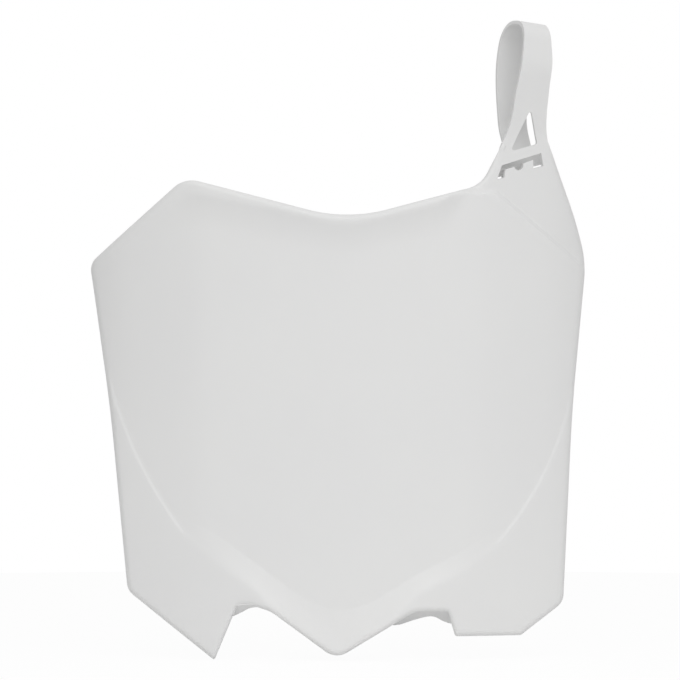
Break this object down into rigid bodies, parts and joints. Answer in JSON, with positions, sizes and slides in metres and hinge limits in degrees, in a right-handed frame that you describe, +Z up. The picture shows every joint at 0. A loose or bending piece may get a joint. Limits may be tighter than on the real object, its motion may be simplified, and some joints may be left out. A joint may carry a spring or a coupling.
{
  "type": "racing number board",
  "caption": "Bowed white plastic front number board for an off-road motorbike, with a raised shield panel, lower wings, a moulded handlebar strap loop and a rear bolt tab.",
  "frame": {"origin": "middle of the bolt hole in the rear lower tab", "axes": "+Z up along the board's height, the board's face looks along -Y, +X to the right as seen from the front"},
  "size_m": [0.255, 0.0509, 0.3291],
  "materials": {
    "white_plastic": "satin injection-moulded white polypropylene"
  },
  "bodies": {
    "root": {"number_board": "white_plastic"}
  },
  "joints": []
}
